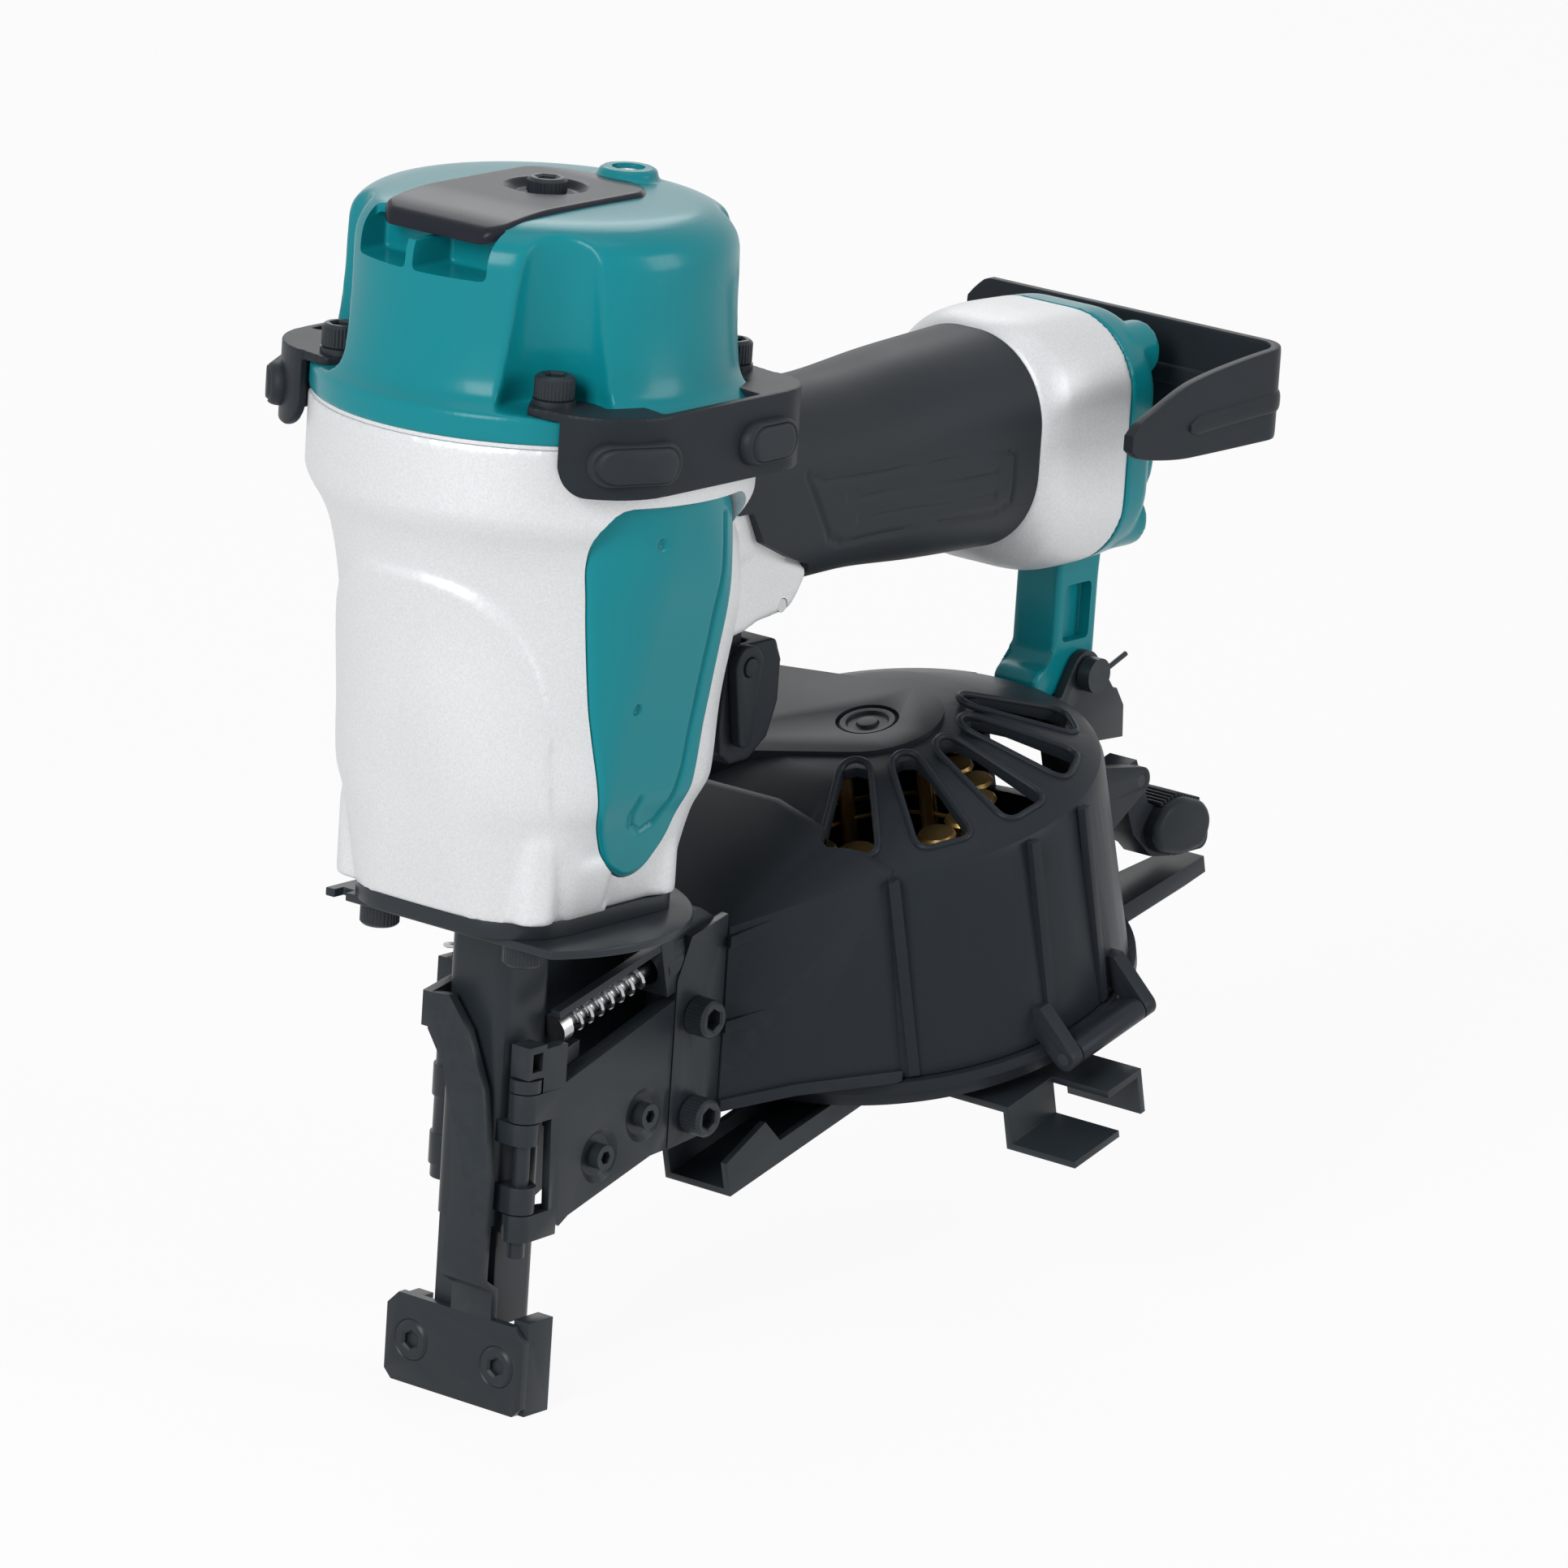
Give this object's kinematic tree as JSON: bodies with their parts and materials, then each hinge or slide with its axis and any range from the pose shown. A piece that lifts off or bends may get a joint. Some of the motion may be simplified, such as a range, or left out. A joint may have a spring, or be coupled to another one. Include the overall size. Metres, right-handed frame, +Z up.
{
  "type": "pneumatic coil roofing nailer",
  "caption": "Pneumatic coil nailer with a round magazine, contact foot, trigger, rubber grip, hanging hook and air inlet.",
  "frame": {"origin": "where the drive axis leaves the contact foot, at the foot's lower face", "axes": "+Z up the drive axis from the nail outlet to the head, +X back along the handle, -Y the side with the feeder door"},
  "size_m": [0.2663, 0.1195, 0.2618],
  "materials": {
    "teal_paint": "gloss",
    "silver_paint": "satin",
    "black_steel": "satin",
    "black_plastic": "matte",
    "rubber": "matte",
    "bright_steel": "satin",
    "dark_cover": "satin",
    "brass": "satin",
    "bare_metal": "satin"
  },
  "bodies": {
    "tool": {"housing": "silver_paint", "grip": "rubber", "side_insert_left": "teal_paint", "side_insert_right": "teal_paint", "head_gasket": "rubber", "head_cap": "teal_paint", "exhaust_cover": "dark_cover", "exhaust_cover_screw": "black_steel", "cap_bolts": "black_steel", "cap_washers": "bright_steel", "guard_left": "black_plastic", "guard_right": "black_plastic", "guard_pads": "rubber", "cylinder_sleeve": "bare_metal", "bumper": "rubber", "end_cap": "teal_paint", "end_cap_bolts": "black_steel", "air_inlet": "brass", "hook_screw": "black_steel", "trigger_valve": "black_plastic", "valve_pin": "bright_steel", "trigger_shaft": "black_steel", "nose_plate": "black_steel", "wing_plate": "black_steel", "nose": "black_steel", "nose_bolts": "black_steel", "feed_cylinder": "black_steel", "door_pin": "black_steel", "magazine_plate": "black_steel", "magazine_bolts": "black_steel", "magazine_cover": "black_plastic", "magazine_pins": "bright_steel", "rear_bracket": "black_plastic", "mount_pin": "black_steel"},
    "driver": {"piston": "bare_metal", "piston_ring": "rubber", "driver_blade": "bright_steel"},
    "head_valve": {"head_valve": "black_plastic", "head_valve_spring": "bright_steel"},
    "trigger": {"trigger": "black_steel"},
    "mode_lever": {"mode_lever": "black_steel"},
    "plunger": {"valve_plunger": "bright_steel"},
    "contact": {"contact_arm": "black_steel", "contact_link": "black_steel", "contact_foot": "black_steel", "foot_screws": "black_steel", "contact_spring": "bright_steel"},
    "depth_dial": {"depth_dial": "black_steel"},
    "feeder": {"feed_piston": "bright_steel", "feed_spring": "bright_steel", "feed_pawl": "black_steel"},
    "door": {"feeder_door": "black_steel", "door_screws": "black_steel"},
    "tray": {"magazine_tray": "black_plastic", "nail_platform": "black_plastic", "gauge_screw": "black_steel"},
    "nails": {"nail_coil": "brass"},
    "gauge": {"shingle_gauge": "black_steel"},
    "latch": {"latch_lever": "black_plastic"},
    "hook": {"hanging_hook": "black_plastic"}
  },
  "joints": [
    {"name": "drive_stroke", "type": "slide", "parent": "tool", "child": "driver", "axis": [0, 0, -1], "range_m": [0, 0.0615]},
    {"name": "valve_lift", "type": "slide", "parent": "tool", "child": "head_valve", "axis": [0, 0, 1], "range_m": [0, 0.004], "stiffness_N_per_m": 1500, "springref_m": -0.002, "deforming": ["head_valve_spring"]},
    {"name": "trigger_pull", "type": "hinge", "parent": "tool", "child": "trigger", "pos_m": [0.061, 0, 0.151], "axis": [0, -1, 0], "range_deg": [0, 8], "stiffness_Nm_per_rad": 0.8, "springref_deg": -5},
    {"name": "mode_select", "type": "hinge", "parent": "trigger", "child": "mode_lever", "pos_m": [0.061, -0.0121, 0.151], "axis": [0, 1, 0], "range_deg": [-25, 25]},
    {"name": "plunger_push", "type": "slide", "parent": "tool", "child": "plunger", "axis": [0, 0, 1], "range_m": [0, 0.0014]},
    {"name": "contact_press", "type": "slide", "parent": "tool", "child": "contact", "axis": [0, 0, 1], "range_m": [0, 0.0095], "stiffness_N_per_m": 400, "springref_m": -0.005, "deforming": ["contact_spring"]},
    {"name": "depth_set", "type": "hinge", "parent": "contact", "child": "depth_dial", "pos_m": [0.0045, 0.0145, 0.057], "axis": [0, 0, 1], "continuous": true},
    {"name": "feed_stroke", "type": "slide", "parent": "tool", "child": "feeder", "axis": [0.9659, 0, 0.2588], "range_m": [0, 0.0065], "stiffness_N_per_m": 400, "springref_m": -0.004},
    {"name": "door_swing", "type": "hinge", "parent": "tool", "child": "door", "pos_m": [-0.004, -0.012, 0.055], "axis": [0, 0, -1], "range_deg": [0, 100]},
    {"name": "tray_swing", "type": "hinge", "parent": "tool", "child": "tray", "pos_m": [0.13667, -0.0569, 0.06617], "axis": [-0.9659, 0, -0.2588], "range_deg": [0, 75]},
    {"name": "coil_spin", "type": "hinge", "parent": "tray", "child": "nails", "pos_m": [0.13092, 0, 0.08762], "axis": [-0.2588, 0, 0.9659], "continuous": true},
    {"name": "gauge_slide", "type": "slide", "parent": "tray", "child": "gauge", "axis": [0.9659, 0, 0.2588], "range_m": [0, 0.01]},
    {"name": "latch_pull", "type": "hinge", "parent": "tool", "child": "latch", "pos_m": [0.18881, -0.018, 0.10727], "axis": [0, -1, 0], "range_deg": [0, 25], "stiffness_Nm_per_rad": 0.12, "springref_deg": -8},
    {"name": "hook_turn", "type": "hinge", "parent": "tool", "child": "hook", "pos_m": [0.2015, 0, 0.1965], "axis": [-1, 0, 0], "range_deg": [0, 180]}
  ],
  "couplings": [
    {"joint": "plunger_push", "follows": "trigger_pull", "m_per_rad": 0.0095}
  ]
}
